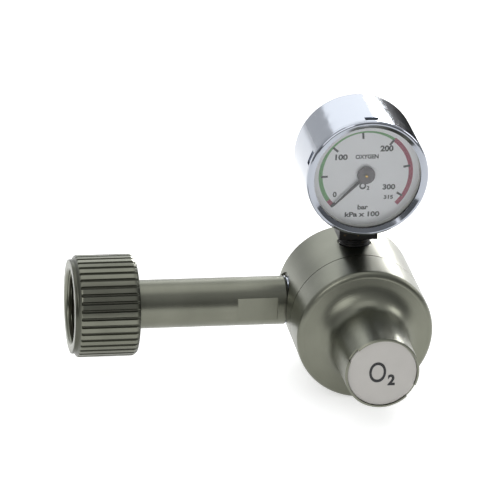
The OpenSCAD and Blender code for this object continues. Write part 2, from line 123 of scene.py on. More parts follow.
def scaled(colour, factor):
    """Colour made lighter or darker, up to white."""
    return tuple(min(1, c * factor) for c in colour)


def colour_setting(name, hex_colour, description):
    """Colour property whose default is an sRGB hex value."""
    return bpy.props.FloatVectorProperty(
        name=name, description=description, subtype="COLOR", size=3, min=0, max=1, default=linear(hex_colour)
    )


def length_setting(name, millimetres, description):
    """Length property whose default is in millimetres."""
    return bpy.props.FloatProperty(
        name=name, description=description, default=millimetres * MM, min=0, unit="LENGTH", precision=5
    )


def angle_setting(name, degrees, description):
    """Angle property whose default is in degrees."""
    return bpy.props.FloatProperty(
        name=name, description=description, default=math.radians(degrees), subtype="ANGLE"
    )


def power_setting(name, watts, description):
    """Power property of a lamp, in watts."""
    return bpy.props.FloatProperty(name=name, description=description, default=watts, unit="POWER")


# ---------- Settings ----------


class RegulatorNut(bpy.types.PropertyGroup):
    """Sizes of the union nut's grip grooves and thread"""

    radius: length_setting("Radius", corner("union_nut", True)[2], "Outer radius over the ribs")
    groove_count: bpy.props.IntProperty(name="Grooves", description="Grip grooves round the nut", default=40, min=12)
    groove_width: length_setting("Groove width", 1.1, "Width of a grip groove at the surface")
    groove_depth: length_setting("Groove depth", 0.7, "Depth of a grip groove")
    thread_pitch: length_setting("Thread pitch", 1.814, "Pitch of the G 3/4 pipe thread, 14 to the inch")
    thread_depth: length_setting("Thread depth", 1.16, "Depth of the G 3/4 pipe thread")


class RegulatorDial(bpy.types.PropertyGroup):
    """Layout of the dial's scale"""

    zero_angle: angle_setting("Zero", 225, "Angle of the scale's zero from three o'clock")
    sweep: angle_setting("Sweep", 270, "Angle of the whole scale")
    full_scale: bpy.props.FloatProperty(name="Full scale", description="Reading at the end of the scale", default=315)
    band_radius: length_setting("Band radius", 14.85, "Middle radius of the coloured band")
    tick_inner: length_setting("Tick inner radius", 12.5, "Where the scale's ticks begin")
    tick_outer: length_setting("Tick outer radius", 14.7, "Where the scale's ticks end")


class RegulatorColours(bpy.types.PropertyGroup):
    """Colours of the main finishes and of the print"""

    nickel: colour_setting("Nickel", "#7d7e72", "Satin nickel plating")
    nickel_dark: colour_setting("Nickel, dark", "#66675c", "Satin nickel in its darker clouds")
    chrome: colour_setting("Chrome", "#9ea2aa", "Polished chrome plating")
    brass: colour_setting("Brass", "#c6a35c", "Machined brass")
    steel: colour_setting("Steel", "#a5a7aa", "Machined stainless steel")
    dial: colour_setting("Dial", "#e6e4e6", "Silver lacquer of the dial")
    label: colour_setting("Label", "#aeaba6", "Printed cap on the neck")
    print_black: colour_setting("Black print", "#0c0d10", "Numbers, ticks and letters")
    print_red: colour_setting("Red print", "#991d47", "Low and high pressure bands")
    print_green: colour_setting("Green print", "#5a9a58", "Working pressure band")


class RegulatorStudio(bpy.types.PropertyGroup):
    """Place of the camera and strength of the lights"""

    lens: bpy.props.FloatProperty(name="Lens", description="Focal length in millimetres", default=307, min=10)
    distance: length_setting("Distance", 1400, "Camera to the point it looks at")
    azimuth: angle_setting("Azimuth", -10.56, "Turn of the camera round the upright axis")
    elevation: angle_setting("Elevation", 23.85, "Height of the camera above the horizon")
    roll: angle_setting("Roll", 2.59, "Turn of the camera about its own line of sight")
    key_power: power_setting("Key light", 8, "Power that the soft lights behind and above are shares of")
    fill_power: power_setting("Fill light", 6, "Power of the soft light in front")
    floor_glow: bpy.props.FloatProperty(
        name="Floor glow", description="Light the pale floor gives of itself", default=0.55
    )


SETTINGS = {
    "regulator_nut": RegulatorNut,
    "regulator_dial": RegulatorDial,
    "regulator_colours": RegulatorColours,
    "regulator_studio": RegulatorStudio,
}


# ---------- Surfaces ----------


def wrapped_grid(points):
    """Closed surface from a grid of points (U, V, 3): each point joins the next along both directions, and the
    last joins the first, so the grid makes a ring-like skin. Returns points and four-cornered faces."""
    u, v = points.shape[:2]
    index = np.arange(u * v).reshape(u, v)
    faces = np.stack([index, np.roll(index, -1, 0), np.roll(np.roll(index, -1, 0), -1, 1), np.roll(index, -1, 1)], -1)
    return points.reshape(-1, 3), faces.reshape(-1, 4).tolist()


def capped_tube(stations):
    """Closed tube from N cross-sections of K points each (N, K, 3): sides join each section to the next, and one
    flat face closes each end."""
    n, k = stations.shape[:2]
    index = np.arange(n * k).reshape(n, k)
    near, far = index[:-1], index[1:]
    sides = np.stack([near, far, np.roll(far, -1, 1), np.roll(near, -1, 1)], -1)
    return stations.reshape(-1, 3), sides.reshape(-1, 4).tolist() + [index[0].tolist(), index[-1][::-1].tolist()]


def softened(corners, radius, steps=3):
    """Outline with each corner replaced by a short curve: for the parameter t from 0 to 1 the point is
    (1-t)^2 A + 2t(1-t) B + t^2 C, where B is the corner and A and C lie one radius before and after it."""
    here = np.array(corners, float)
    before, after = np.roll(here, 1, 0) - here, np.roll(here, -1, 0) - here
    reach_before = np.linalg.norm(before, axis=1, keepdims=True)
    reach_after = np.linalg.norm(after, axis=1, keepdims=True)
    a = here + before / reach_before * np.minimum(radius, reach_before * 0.4)
    c = here + after / reach_after * np.minimum(radius, reach_after * 0.4)
    t = np.linspace(0, 1, steps)[None, :, None]
    return ((1 - t) ** 2 * a[:, None] + 2 * t * (1 - t) * here[:, None] + t**2 * c[:, None]).reshape(-1, 2)


def filled(outline, step):
    """Outline with points added along each long edge, so that none is longer than the step."""
    after = np.roll(outline, -1, 0)
    counts = np.maximum(1, np.ceil(np.linalg.norm(after - outline, axis=1) / step)).astype(int)
    parts = [a + (b - a) * np.arange(n)[:, None] / n for a, b, n in zip(outline, after, counts)]
    return np.concatenate(parts)


def facing_front(across, up, front, centre):
    """Places flat shapes on the front of the body: across is +X, up is +Z, front is -Y, from a centre (x, z)."""
    across, up, front = np.broadcast_arrays(across, up, front)
    return np.stack([across + centre[0], -front, up + centre[1]], -1)


def piece(name, parts, material, body, replaces=(), sharp=35):
    """Makes one object from parts, each a pair of points in millimetres and faces. Its faces are turned outwards, its
    doubled points are merged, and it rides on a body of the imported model. Edges over the sharp angle stay crisp."""
    mesh = bpy.data.meshes.new(name)
    points, faces, start = [], [], 0
    for part_points, part_faces in parts:
        points.append(np.asarray(part_points, float) * MM)
        faces += [[start + i for i in face] for face in part_faces]
        start += len(part_points)
    mesh.from_pydata(np.concatenate(points), [], faces)
    shape = bmesh.new()
    shape.from_mesh(mesh)
    bmesh.ops.remove_doubles(shape, verts=shape.verts, dist=1e-7)
    bmesh.ops.recalc_face_normals(shape, faces=shape.faces)
    shape.to_mesh(mesh)
    shape.free()
    mesh.shade_smooth()
    mesh.set_sharp_from_angle(angle=math.radians(sharp))
    mesh.materials.append(material)
    made = bpy.data.objects.new(name, mesh)
    bpy.context.scene.collection.objects.link(made)
    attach(made, body)
    if replaces:
        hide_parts(*replaces)
    return made


def helix(radius, wire, start, end, turns, centre, sides=12, steps=40):
    """Round wire of radius w wound at radius R about the body's front axis. At turn angle a and wire angle b the point
    is ((R + w cos b) cos a, (R + w cos b) sin a), at height start + w + (end - start - 2w) times climb / whole climb
    + w sin b. Each end coil climbs 1.9 w in three quarters of a turn, so it lies close. The coils between them climb
    evenly."""
    along = np.linspace(0, 1, int(turns * steps) + 1)
    angle = 2 * math.pi * turns * along
    span, closed, lay = end - start - 2 * wire, 0.75 / turns, 1.9 * wire
    climb = np.interp(along, [0, closed, 1 - closed, 1], [0, lay, span + lay, span + 2 * lay])
    height = start + wire + span * climb / climb[-1]
    around = np.linspace(0, 2 * math.pi, sides, endpoint=False)
    far = radius + wire * np.cos(around)[None, :]
    return capped_tube(
        facing_front(
            far * np.cos(angle)[:, None],
            far * np.sin(angle)[:, None],
            height[:, None] + wire * np.sin(around)[None, :],
            centre,
        )
    )


def thread_sleeve(inner, root, crest, start, end, pitch, sides=72, steps=10):
    """Thin sleeve with an outside thread, about +Z from the origin. At height h and angle a its radius is
    root + (crest - root) times a rounded tooth of the phase h / pitch - a / turn, fading out at both ends."""
    rows = int((end - start) / pitch * steps) + 1
    height = np.linspace(start, end, rows)[:, None]
    angle = np.linspace(0, 2 * math.pi, sides, endpoint=False)[None, :]
    tooth = 0.5 + 0.5 * np.cos(2 * math.pi * (height / pitch) - angle)
    ends = np.clip(np.minimum(height - start, end - height) / pitch, 0, 1)
    outside = root + (crest - root) * tooth**0.8 * ends
    inside = np.full_like(outside, inner)
    radius = np.concatenate([outside, inside[::-1]])
    height = np.concatenate([np.broadcast_to(height, outside.shape), np.broadcast_to(height, outside.shape)[::-1]])
    angle = np.broadcast_to(angle, radius.shape)
    return wrapped_grid(np.stack([radius * np.cos(angle), radius * np.sin(angle), height], -1))


# ---------- Finishes ----------


def add_node(owner, kind, settings=None, links=None):
    """Adds one node to a material or world. A setting names an input or an attribute; a link joins an input to
    (node, output)."""
    made = owner.node_tree.nodes.new(kind)
    for key, value in (settings or {}).items():
        if isinstance(key, int) or key in made.inputs:
            made.inputs[key].default_value = value
        else:
            setattr(made, key, value)
    for key, (source, output) in (links or {}).items():
        owner.node_tree.links.new(source.outputs[output], made.inputs[key])
    return made


def new_material(name):
    """Material with an empty node tree."""
    material = bpy.data.materials.new(name)
    material.use_nodes = True
    material.node_tree.nodes.clear()
    return material


def in_millimetres(material, centre=(0, 0, 0)):
    """Object coordinates in millimetres from a centre."""
    place = add_node(material, "ShaderNodeTexCoord")
    return add_node(
        material,
        "ShaderNodeMapping",
        {"Scale": (1000, 1000, 1000), "Location": tuple(-c for c in centre)},
        {"Vector": (place, "Object")},
    )


def about_axis(material, place, axis):
    """Radius from an axis and distance along it, which turn a pattern into lathe lines."""
    split = add_node(material, "ShaderNodeSeparateXYZ", links={"Vector": (place, "Vector")})
    first, second = [a for a in "XYZ" if a != axis]
    square = add_node(
        material, "ShaderNodeMath", {"operation": "MULTIPLY"}, {0: (split, first), 1: (split, first)}
    )
    total = add_node(
        material,
        "ShaderNodeMath",
        {"operation": "MULTIPLY_ADD"},
        {0: (split, second), 1: (split, second), 2: (square, 0)},
    )
    radius = add_node(material, "ShaderNodeMath", {"operation": "SQRT"}, {0: (total, 0)})
    turned = add_node(material, "ShaderNodeCombineXYZ", links={"X": (radius, 0), "Y": (split, axis)})
    return radius, turned


def lathe_rings(material, turned, per_millimetre):
    """Noise over radius and length only, so it shows as rings round the turning axis."""
    settings = {"noise_dimensions": "2D", "Scale": per_millimetre, "Detail": 3}
    return add_node(material, "ShaderNodeTexNoise", settings, {"Vector": (turned, "Vector")})


def finish(name):
    """Material made by the Finishes operator."""
    material = bpy.data.materials.get(name)
    if material is None:
        raise RuntimeError(f"{name} is missing: run Finishes first")
    return material


def shaded(material, settings, links):
    """Principled shader and the material's output."""
    shader = add_node(material, "ShaderNodeBsdfPrincipled", settings, links)
    add_node(material, "ShaderNodeOutputMaterial", links={"Surface": (shader, "BSDF")})
    return material


def satin_nickel(name, centre, axis, light, dark, grip=None):
    """Nickel plated on turned brass, then bead blasted. The turning shows as rings about 0.4 mm apart, the blasting
    as a grain of 0.3 mm, and the plating as soft clouds 15 mm wide. Grip is a pair of radii, the bottom of a groove
    and the top of a ridge: towards the bottom the colour is painted darker, as painted shade in the groove. Further in,
    in the bore, the colour is plain."""
    material = new_material(name)
    place = in_millimetres(material, centre)
    radius, turned = about_axis(material, place, axis)
    rings = lathe_rings(material, turned, 2.4)
    grain = add_node(material, "ShaderNodeTexNoise", {"Scale": 3.2, "Detail": 3}, {"Vector": (place, "Vector")})
    clouds = add_node(material, "ShaderNodeTexNoise", {"Scale": 0.07, "Detail": 2}, {"Vector": (place, "Vector")})
    tone = add_node(
        material,
        "ShaderNodeMix",
        {"data_type": "RGBA", 6: four(dark), 7: four(light)},
        {0: (clouds, "Fac")},
    )
    gloss = add_node(
        material,
        "ShaderNodeMapRange",
        {"From Min": 0.3, "From Max": 0.7, "To Min": 0.3, "To Max": 0.36},
        {"Value": (rings, "Fac")},
    )
    colour = (tone, 2)
    if grip:
        # painted shade: from the ridge's top down to the groove's bottom the colour goes to 0.6 of the dark nickel
        ridge = add_node(
            material,
            "ShaderNodeMapRange",
            {"interpolation_type": "SMOOTHSTEP", "From Min": grip[0], "From Max": grip[1]},
            {"Value": (radius, 0)},
        )
        inner_wall = grip[0] - 1.2
        inside = add_node(material, "ShaderNodeMath", {"operation": "LESS_THAN", 1: inner_wall}, {0: (radius, 0)})
        plain = add_node(material, "ShaderNodeMath", {"operation": "MAXIMUM"}, {0: (ridge, 0), 1: (inside, 0)})
        # the grooves' painted shade, mixed into the nickel's colour
        groove_shaded = add_node(
            material,
            "ShaderNodeMix",
            {"data_type": "RGBA", 6: four(scaled(dark, 0.6))},
            {0: (plain, 0), 7: (tone, 2)},
        )
        colour = (groove_shaded, 2)
    blasted = add_node(
        material, "ShaderNodeBump", {"Strength": 0.6, "Distance": 0.00003}, {"Height": (grain, "Fac")}
    )
    lathe = add_node(
        material,
        "ShaderNodeBump",
        {"Strength": 0.1, "Distance": 0.00002},
        {"Height": (rings, "Fac"), "Normal": (blasted, "Normal")},
    )
    return shaded(
        material, {"Metallic": 1}, {"Base Color": colour, "Roughness": (gloss, 0), "Normal": (lathe, "Normal")}
    )


def turned_metal(name, colour, rough, centre, axis, lines=3.0, depth=0.2):
    """Bright machined metal. Lathe lines follow the turning axis, and handling leaves faint dull patches."""
    material = new_material(name)
    place = in_millimetres(material, centre)
    _, turned = about_axis(material, place, axis)
    rings = lathe_rings(material, turned, lines)
    patches = add_node(material, "ShaderNodeTexNoise", {"Scale": 0.25, "Detail": 3}, {"Vector": (place, "Vector")})
    tone = add_node(
        material,
        "ShaderNodeMix",
        {"data_type": "RGBA", 6: four(scaled(colour, 0.82)), 7: four(colour)},
        {0: (patches, "Fac")},
    )
    gloss = add_node(
        material,
        "ShaderNodeMapRange",
        {"From Min": 0.3, "From Max": 0.7, "To Min": rough * 0.8, "To Max": rough * 1.25},
        {"Value": (patches, "Fac")},
    )
    bump = add_node(
        material, "ShaderNodeBump", {"Strength": depth, "Distance": 0.00002}, {"Height": (rings, "Fac")}
    )
    return shaded(
        material, {"Metallic": 1}, {"Base Color": (tone, 2), "Roughness": (gloss, 0), "Normal": (bump, "Normal")}
    )


def polished_chrome(name, colour):
    """Chrome plate on pressed and buffed brass sheet. It is a near mirror; buffing leaves ripples 4 mm long, fingers
    leave dull smudges about 8 mm wide, and dust leaves specks about 3 mm apart."""
    material = new_material(name)
    place = in_millimetres(material, (DIAL_X, 0, DIAL_Z))
    ripple = add_node(material, "ShaderNodeTexNoise", {"Scale": 0.22, "Detail": 1}, {"Vector": (place, "Vector")})
    smudge = add_node(material, "ShaderNodeTexNoise", {"Scale": 0.13, "Detail": 4}, {"Vector": (place, "Vector")})
    specks = add_node(material, "ShaderNodeTexVoronoi", {"Scale": 0.35}, {"Vector": (place, "Vector")})
    dust = add_node(
        material,
        "ShaderNodeMapRange",
        {"From Min": 0.02, "From Max": 0.09, "To Min": 0.5, "To Max": 0},
        {"Value": (specks, "Distance")},
    )
    gloss = add_node(
        material,
        "ShaderNodeMapRange",
        {"From Min": 0.35, "From Max": 0.75, "To Min": 0.06, "To Max": 0.16},
        {"Value": (smudge, "Fac")},
    )
    rough = add_node(material, "ShaderNodeMath", {"operation": "ADD", "use_clamp": True}, {0: (gloss, 0), 1: (dust, 0)})
    bump = add_node(
        material, "ShaderNodeBump", {"Strength": 0.25, "Distance": 0.0001}, {"Height": (ripple, "Fac")}
    )
    return shaded(
        material,
        {"Metallic": 1, "Base Color": four(colour)},
        {"Roughness": (rough, 0), "Normal": (bump, "Normal")},
    )


def moulded(name, colour, rough, grain=2.5, depth=0.15, specular=0.5):
    """Moulded rubber, plastic or lacquer: even colour with a faint mottle and a fine grain of about 0.4 mm."""
    material = new_material(name)
    place = in_millimetres(material)
    fine = add_node(material, "ShaderNodeTexNoise", {"Scale": grain, "Detail": 3}, {"Vector": (place, "Vector")})
    broad = add_node(material, "ShaderNodeTexNoise", {"Scale": 0.12, "Detail": 2}, {"Vector": (place, "Vector")})
    tone = add_node(
        material,
        "ShaderNodeMix",
        {"data_type": "RGBA", 6: four(scaled(colour, 0.9)), 7: four(scaled(colour, 1.06))},
        {0: (broad, "Fac")},
    )
    gloss = add_node(
        material,
        "ShaderNodeMapRange",
        {"From Min": 0.3, "From Max": 0.7, "To Min": rough * 0.9, "To Max": min(1, rough * 1.1)},
        {"Value": (fine, "Fac")},
    )
    bump = add_node(
        material, "ShaderNodeBump", {"Strength": depth, "Distance": 0.00002}, {"Height": (fine, "Fac")}
    )
    return shaded(
        material,
        {"Specular IOR Level": specular},
        {"Base Color": (tone, 2), "Roughness": (gloss, 0), "Normal": (bump, "Normal")},
    )


def sintered_bronze(name):
    """Bronze balls about 0.3 mm across, pressed and fused. In the pores between them the colour is painted dark, as
    painted shade.
    """
    material = new_material(name)
    place = in_millimetres(material)
    balls = add_node(material, "ShaderNodeTexVoronoi", {"Scale": 3}, {"Vector": (place, "Vector")})
    # painted shade: the colour goes dark away from each ball's middle, towards the pores between the balls
    tone = add_node(
        material,
        "ShaderNodeMix",
        {"data_type": "RGBA", 6: four(linear("#a9834c")), 7: four(linear("#3b2c1a"))},
        {0: (balls, "Distance")},
    )
    bump = add_node(
        material,
        "ShaderNodeBump",
        {"Strength": 0.8, "Distance": 0.0001, "invert": True},
        {"Height": (balls, "Distance")},
    )
    return shaded(material, {"Metallic": 1, "Roughness": 0.45}, {"Base Color": (tone, 2), "Normal": (bump, "Normal")})


def blackened_brass(name):
    """Brass block blackened in a bath. Its colour rubs thin in small spots, where brown shows through."""
    material = new_material(name)
    place = in_millimetres(material)
    spots = add_node(material, "ShaderNodeTexNoise", {"Scale": 0.9, "Detail": 6}, {"Vector": (place, "Vector")})
    thin = add_node(
        material, "ShaderNodeMapRange", {"From Min": 0.62, "From Max": 0.72}, {"Value": (spots, "Fac")}
    )
    tone = add_node(
        material,
        "ShaderNodeMix",
        {"data_type": "RGBA", 6: four(linear("#1b1b1a")), 7: four(linear("#5a4a2c"))},
        {0: (thin, 0)},
    )
    bump = add_node(
        material, "ShaderNodeBump", {"Strength": 0.2, "Distance": 0.00003}, {"Height": (spots, "Fac")}
    )
    return shaded(
        material, {"Metallic": 0.6, "Roughness": 0.42}, {"Base Color": (tone, 2), "Normal": (bump, "Normal")}
    )


def silver_dial(name, colour):
    """Aluminium sheet under silver lacquer: fine brushing across the dial, 0.3 mm apart, under a half-matt coat."""
    material = new_material(name)
    place = in_millimetres(material)
    drawn = add_node(
        material, "ShaderNodeMapping", {"Scale": (0.08, 1, 2.5)}, {"Vector": (place, "Vector")}
    )
    lines = add_node(material, "ShaderNodeTexNoise", {"Scale": 1.3, "Detail": 4}, {"Vector": (drawn, "Vector")})
    tone = add_node(
        material,
        "ShaderNodeMix",
        {"data_type": "RGBA", 6: four(scaled(colour, 0.94)), 7: four(colour)},
        {0: (lines, "Fac")},
    )
    bump = add_node(
        material, "ShaderNodeBump", {"Strength": 0.08, "Distance": 0.00001}, {"Height": (lines, "Fac")}
    )
    return shaded(
        material,
        {"Metallic": 0.15, "Roughness": 0.45},
        {"Base Color": (tone, 2), "Normal": (bump, "Normal")},
    )


def clear_glass(name):
    """Flat float glass. Light goes straight through, and its faces mirror more towards a grazing view."""
    material = new_material(name)
    place = in_millimetres(material)
    wipe = add_node(material, "ShaderNodeTexNoise", {"Scale": 0.15, "Detail": 3}, {"Vector": (place, "Vector")})
    haze = add_node(
        material,
        "ShaderNodeMapRange",
        {"From Min": 0.35, "From Max": 0.75, "To Min": 0.01, "To Max": 0.06},
        {"Value": (wipe, "Fac")},
    )
    clear = add_node(material, "ShaderNodeBsdfTransparent", {"Color": (0.97, 0.98, 0.98, 1)})
    mirror = add_node(material, "ShaderNodeBsdfGlossy", {"Color": (1, 1, 1, 1)}, {"Roughness": (haze, 0)})
    edge = add_node(material, "ShaderNodeFresnel", {"IOR": 1.45})
    glass = add_node(material, "ShaderNodeMixShader", links={0: (edge, 0), 1: (clear, 0), 2: (mirror, 0)})
    add_node(material, "ShaderNodeOutputMaterial", links={"Surface": (glass, 0)})
    return material


# ---------- Operators ----------


class RegulatorFinishes(bpy.types.Operator):
    """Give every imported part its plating, metal, rubber, glass or lacquer"""

    bl_idname = "regulator.finishes"
    bl_label = "Finishes"

    def execute(self, context):
        colours = context.scene.regulator_colours
        nickel, dark = tuple(colours.nickel), tuple(colours.nickel_dark)
        brass, steel = tuple(colours.brass), tuple(colours.steel)
        dial_centre, body_centre = (DIAL_X, 0, DIAL_Z), (BODY_X, 0, 0)
        finishes = {
            "satin_nickel": satin_nickel("satin_nickel_on_turned_body", body_centre, "Y", nickel, dark),
            "chrome": polished_chrome("polished_chrome_plate", tuple(colours.chrome)),
            "brass": turned_metal("machined_brass", brass, 0.24, dial_centre, "Y"),
            "steel": turned_metal("turned_stainless_steel", steel, 0.26, body_centre, "Y"),
            "spring_steel": turned_metal("drawn_spring_wire", linear("#7d8085"), 0.34, body_centre, "Y", 5, 0.3),
            "copper_washer": turned_metal("annealed_copper", linear("#bd7a52"), 0.32, body_centre, "Z"),
            "black_rubber": moulded("moulded_black_rubber", linear("#151515"), 0.72, 2, 0.3, 0.3),
            "white_plastic": moulded("moulded_white_plastic", linear("#dddcd6"), 0.42),
            "sintered_bronze": sintered_bronze("sintered_bronze"),
            "black_brass": blackened_brass("blackened_brass"),
            "dial_face": silver_dial("silver_lacquered_aluminium", tuple(colours.dial)),
            "pointer_black": moulded("black_lacquer", linear("#0e0e0f"), 0.38),
            "clear_lens": clear_glass("float_glass"),
            "grey_label": moulded("satin_printed_cap", tuple(colours.label), 0.36, 1.6, 0.1),
        }
        satin_nickel("satin_nickel_on_inlet", (0, 0, 0), "X", nickel, dark)
        # the nut's ridge top and groove bottom: between them the grooves get painted shade
        ridge_top = context.scene.regulator_nut.radius / MM - 0.05
        groove_bottom = ridge_top - 0.5
        satin_nickel("satin_nickel_on_grooved_nut", (0, 0, 0), "X", nickel, dark, (groove_bottom, ridge_top))
        moulded("black_dial_ink", tuple(colours.print_black), 0.5)
        moulded("red_dial_ink", tuple(colours.print_red), 0.5)
        moulded("green_dial_ink", tuple(colours.print_green), 0.5)
        moulded("grey_lacquered_hub", linear("#50494d"), 0.4)
        turned_metal("bright_gilt_pin", linear("#dcb45c"), 0.16, dial_centre, "Y")
        for part in frame["record"]["subparts"]:
            material = finishes[part["material_slot"]]
            if part["node"] == "inlet_stem":
                material = finish("satin_nickel_on_inlet")
            mesh = NODES[part["node"]].data
            mesh.materials.clear()
            mesh.materials.append(material)
        return {"FINISHED"}


class RegulatorUnionNut(bpy.types.Operator):
    """Build the hand-tight union nut with its grip grooves and its inside pipe thread"""

    bl_idname = "regulator.union_nut"
    bl_label = "Union nut"

    def execute(self, context):
        nut = context.scene.regulator_nut
        outer, pitch, thread = nut.radius / MM, nut.thread_pitch / MM, nut.thread_depth / MM
        half_width, depth, count = nut.groove_width / MM / 2, nut.groove_depth / MM, nut.groove_count
        front, rear = corner("union_nut", False)[0], corner("union_nut", True)[0]
        # radii of the thread's crests, the relief groove behind it, the stem's hole and the front lip
        bore, relief, hole, rim = 12.06, 13.36, 8.25, outer - 1.25
        floor, thread_end = rear - 2.2, front + 8.5
        chamfer, lip_end, cone_end, bevel_start = 0.7, front + 1.2, front + 2.1, rear - 1.4
        edge_radius, fine_step = 0.35, 0.2
        outline = filled(
            softened(
                [
                    (front + chamfer, bore), (front, bore + chamfer), (front, rim), (lip_end, rim), (cone_end, outer),
                    (bevel_start, outer), (rear, outer - 0.9), (rear, hole), (floor, hole), (floor, relief),
                    (thread_end, relief), (thread_end, bore),
                ],
                edge_radius,
            ),
            fine_step,
        )
        # long plain stretches need no fine steps: keep every point of the ends and the thread, and few between
        x, r = outline.T
        plain_outside = (r > outer - 0.01) & (x > front + 3.8) & (x < rear - 1.9)
        plain_relief = (r < relief + 0.01) & (x > thread_end + 0.5) & (x < floor - 0.5)
        keep = ~(plain_outside | plain_relief) | (np.arange(len(x)) % 14 == 0)
        x, r = x[keep][:, None], r[keep][:, None]
        # angles crowd round each groove, so its walls stay crisp; the offsets are in groove half-widths
        cell = 2 * math.pi / count
        half_angle = half_width / outer
        offsets = np.array([-1.25, -1.02, -0.97, -0.8, -0.5, 0, 0.5, 0.8, 0.97, 1.02, 1.25]) * half_angle
        spare = np.linspace(1.25 * half_angle, cell - 1.25 * half_angle, 4)[1:-1]
        angle = (np.arange(count)[:, None] * cell + np.concatenate([offsets, spare])[None, :]).ravel()[None, :]
        # grooves: half-round across, and rounded where each one starts
        across = np.abs((angle + cell / 2) % cell - cell / 2) * outer / half_width
        start = front + 1.9
        into = np.clip((x - start) / (half_width * 1.3), 0, 1)
        shape = np.sqrt(np.clip(1 - across**2, 0, 1)) * np.sqrt(1 - (1 - into) ** 2)
        outside = (r > hole + 4) & (x > start) & (r > relief + 1.2)
        cut = np.where(outside, np.maximum(0, depth * shape - (outer - r)), 0)
        # thread: a rounded tooth that climbs one pitch a turn, fading in from the mouth
        thread_start, fade_in, fade_out = front + 0.8, 0.8, 0.5
        tooth = 0.5 + 0.5 * np.cos(2 * math.pi * x / pitch - angle)
        threaded = (r <= bore + 0.01) & (x > thread_start) & (x < thread_end - 0.05)
        fade = np.clip((x - thread_start) / fade_in, 0, 1) * np.clip((thread_end - x) / fade_out, 0, 1)
        radius = r - cut + np.where(threaded, thread * tooth**0.9 * fade, 0)
        grid = np.stack(np.broadcast_arrays(x, radius * np.cos(angle), radius * np.sin(angle)), -1)
        piece(
            "union_nut_grooved", [wrapped_grid(grid)], finish("satin_nickel_on_grooved_nut"),
            "nut", ["union_nut"], 40,
        )
        return {"FINISHED"}


class RegulatorThreads(bpy.types.Operator):
    """Cut the thread that shows below the gauge and the thread of the rear outlet"""

    bl_idname = "regulator.threads"
    bl_label = "Gauge and outlet threads"

    def execute(self, context):
        # each sleeve: inner, root and crest radius, start, end and pitch (G 1/8 is 0.907, G 1/4 is 1.337)
        gauge_y, thread_bottom, block_bottom = -4.0, 21.3, 25.6
        points, faces = thread_sleeve(4.75, 4.88, 5.2, thread_bottom, block_bottom - 0.02, 0.907)
        piece(
            "gauge_stem_thread", [(points + np.array([BODY_X, gauge_y, 0]), faces)],
            finish("blackened_brass"), "root",
        )
        rear = corner("outlet_fitting", True)[1]
        points, faces = thread_sleeve(6.4, 6.6, 6.95, rear - 8.6, rear - 0.9, 1.337)
        turned = np.stack([points[:, 0] + BODY_X, points[:, 2], points[:, 1] - REAR_PORT_REACH], -1)
        piece(
            "outlet_thread", [(turned, faces)], finish("satin_nickel_on_turned_body"), "root",
        )
        return {"FINISHED"}


class RegulatorSprings(bpy.types.Operator):
    """Wind the preset, valve and relief springs from round wire."""

    bl_idname = "regulator.springs"
    bl_label = "Springs"

    def execute(self, context):
        relief = (BODY_X + REAR_PORT_REACH * math.cos(RELIEF_TURN), REAR_PORT_REACH * math.sin(RELIEF_TURN))
        # coil radius, wire radius, turns, axis (x, z), the joint that presses it and how far
        winds = {
            "main_spring": (6.9, 1.3, 6.5, (BODY_X, 0), "spring_plate_slide", 3.75),
            "valve_spring": (2.9, 0.35, 5, (BODY_X, 0), "valve_travel", 0.8),
            "relief_spring": (2.5, 0.35, 5, relief, "relief_travel", 1.2),
        }
        for node, (radius, wire, turns, centre, joint, travel) in winds.items():
            start, end = -corner(node, True)[1], -corner(node, False)[1]
            wound = piece(
                node + "_wound", [helix(radius, wire, start, end, turns, centre)],
                finish("drawn_spring_wire"), "root", [node],
            )
            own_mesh(wound)
        return {"FINISHED"}


def print_height(front):
    """Heights of a flat print's four edges, from just inside its face to proud of it."""
    return np.array([front - SUNK, front - SUNK, front + INK, front + INK])[None, :]


def band(radius, width, start, end, front, centre):
    """Flat printed arc between two angles. Its width may change along it: a list is spread evenly."""
    steps = max(8, int(abs(end - start) / math.radians(2)))
    angle = np.linspace(start, end, steps + 1)
    wide = np.interp(np.linspace(0, 1, steps + 1), np.linspace(0, 1, len(width)), width)
    inner, outer = radius - wide / 2, radius + wide / 2
    edge = np.stack([inner, outer, outer, inner], 1)
    across, up = edge * np.cos(angle)[:, None], edge * np.sin(angle)[:, None]
    return capped_tube(facing_front(across, up, print_height(front), centre))


def bar(inner, outer, width, angle, front, centre):
    """Flat printed line along a radius, as a straight box between two radii."""
    along = np.array([inner, outer])[:, None]
    aside = np.array([-width / 2, width / 2, width / 2, -width / 2])[None, :]
    across = along * math.cos(angle) - aside * math.sin(angle)
    up = along * math.sin(angle) + aside * math.cos(angle)
    return capped_tube(facing_front(across, up, print_height(front), centre))


def lettering(text, size, at, front, centre, bold=0.045):
    """Text as thin solid letters, stretched to a width and height and centred at a place on the face. Bold swells
    each stroke by that part of the letters' size."""
    curve = bpy.data.curves.new("lettering", "FONT")
    curve.body = text
    curve.extrude = 0.5
    curve.offset = bold
    holder = bpy.data.objects.new("lettering", curve)
    bpy.context.scene.collection.objects.link(holder)
    bpy.context.view_layer.update()
    solid = holder.evaluated_get(bpy.context.evaluated_depsgraph_get()).to_mesh()
    points = np.empty(len(solid.vertices) * 3)
    solid.vertices.foreach_get("co", points)
    points = points.reshape(-1, 3)
    faces = [list(face.vertices) for face in solid.polygons]
    bpy.data.objects.remove(holder)
    bpy.data.curves.remove(curve)
    low, high = points.min(0), points.max(0)
    wide, tall = size[0] / (high[0] - low[0]), size[1] / (high[1] - low[1])
    across = (points[:, 0] - (low[0] + high[0]) / 2) * wide + at[0]
    up = (points[:, 1] - (low[1] + high[1]) / 2) * tall + at[1]
    height = np.where(points[:, 2] > 0, front + INK, front - SUNK)
    return facing_front(across, up, height, centre), faces


